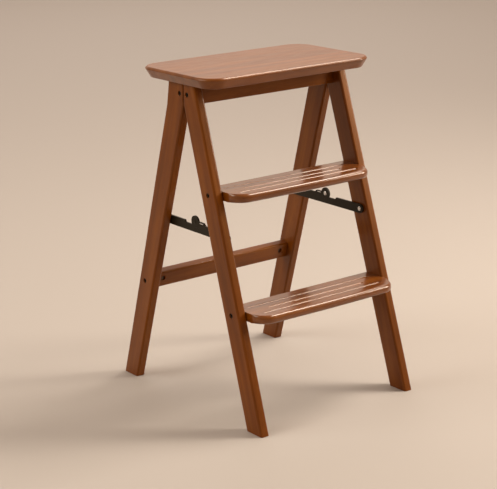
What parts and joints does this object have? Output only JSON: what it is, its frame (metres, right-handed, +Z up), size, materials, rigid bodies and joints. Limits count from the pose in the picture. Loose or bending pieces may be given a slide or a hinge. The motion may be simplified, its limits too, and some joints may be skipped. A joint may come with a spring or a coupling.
{
  "type": "folding step ladder",
  "caption": "Folding wooden step stool with a seat board, grooved treads between splayed legs and jointed steel side braces.",
  "frame": {"origin": "floor level, below the middle of the open ladder's footprint", "axes": "+X to the ladder's right seen from the tread side, +Y from the tread side to the rear frame, +Z up"},
  "size_m": [0.42, 0.4854, 0.6865],
  "materials": {
    "wood": "stained walnut brown with satin varnish",
    "black_steel": "satin black",
    "zinc_steel": "bright zinc plating"
  },
  "bodies": {
    "front_frame": {"seat_board": "wood", "apron_front": "wood", "tread_lower": "wood", "tread_upper": "wood", "front_leg_left": "wood", "front_leg_right": "wood", "bolt_tread_lower_left": "black_steel", "bolt_tread_lower_right": "black_steel", "bolt_tread_upper_left": "black_steel", "bolt_tread_upper_right": "black_steel", "bolt_apron_left": "black_steel", "bolt_apron_right": "black_steel", "barrel_nut_tread_lower_left": "zinc_steel", "barrel_nut_tread_lower_right": "zinc_steel", "barrel_nut_tread_upper_left": "zinc_steel", "barrel_nut_tread_upper_right": "zinc_steel", "barrel_nut_apron_left": "zinc_steel", "barrel_nut_apron_right": "zinc_steel", "hinge_front_screw_left": "zinc_steel", "hinge_front_screw_middle": "zinc_steel", "hinge_front_screw_right": "zinc_steel", "hinge_front_leaf": "zinc_steel", "hinge_pin": "zinc_steel", "seat_screw_left": "zinc_steel", "seat_screw_right": "zinc_steel", "brace_front_spacer_left": "black_steel", "brace_front_spacer_right": "black_steel", "brace_front_rivet_left": "zinc_steel", "brace_front_rivet_right": "zinc_steel"},
    "rear_frame": {"rail_rear": "wood", "rear_stretcher": "wood", "rear_leg_left": "wood", "rear_leg_right": "wood", "bolt_rail_rear_left": "black_steel", "bolt_rail_rear_right": "black_steel", "bolt_stretcher_left": "black_steel", "bolt_stretcher_right": "black_steel", "barrel_nut_rail_rear_left": "zinc_steel", "barrel_nut_rail_rear_right": "zinc_steel", "barrel_nut_stretcher_left": "zinc_steel", "barrel_nut_stretcher_right": "zinc_steel", "hinge_rear_leaf": "zinc_steel", "hinge_rear_screw_left": "zinc_steel", "hinge_rear_screw_middle": "zinc_steel", "hinge_rear_screw_right": "zinc_steel", "brace_rear_spacer_left": "black_steel", "brace_rear_spacer_right": "black_steel"},
    "brace_front_left": {"brace_front_arm_left": "black_steel", "brace_knuckle_rivet_left": "zinc_steel", "brace_lock_pin_left": "zinc_steel"},
    "brace_rear_left": {"brace_rear_arm_left": "black_steel", "brace_rear_rivet_left": "zinc_steel"},
    "brace_front_right": {"brace_front_arm_right": "black_steel", "brace_knuckle_rivet_right": "zinc_steel"},
    "brace_rear_right": {"brace_rear_arm_right": "black_steel", "brace_rear_rivet_right": "zinc_steel", "brace_lock_pin_right": "zinc_steel"}
  },
  "joints": [
    {"name": "fold", "type": "hinge", "parent": "front_frame", "child": "rear_frame", "pos_m": [0, 0, 0.6205], "axis": [-1, 0, 0], "range_deg": [0, 34.6]},
    {"name": "brace_front_left_pivot", "type": "hinge", "parent": "front_frame", "child": "brace_front_left", "pos_m": [-0.17237, -0.10789, 0.37], "axis": [-1, 0, 0], "range_deg": [0, 102.44]},
    {"name": "brace_knuckle_left_pivot", "type": "hinge", "parent": "brace_front_left", "child": "brace_rear_left", "pos_m": [-0.17237, -0.002, 0.382], "axis": [1, 0, 0], "range_deg": [0, 162.32]},
    {"name": "brace_front_right_pivot", "type": "hinge", "parent": "front_frame", "child": "brace_front_right", "pos_m": [0.17237, -0.10789, 0.37], "axis": [-1, 0, 0], "range_deg": [0, 94.49]},
    {"name": "brace_knuckle_right_pivot", "type": "hinge", "parent": "brace_front_right", "child": "brace_rear_right", "pos_m": [0.17237, 0.002, 0.382], "axis": [1, 0, 0], "range_deg": [0, 162.32]}
  ],
  "couplings": [
    {"joint": "brace_front_left_pivot", "follows": "fold", "ratio": 2.9603},
    {"joint": "brace_knuckle_left_pivot", "follows": "fold", "ratio": 4.6909},
    {"joint": "brace_front_right_pivot", "follows": "fold", "ratio": 2.7306},
    {"joint": "brace_knuckle_right_pivot", "follows": "fold", "ratio": 4.6909}
  ]
}
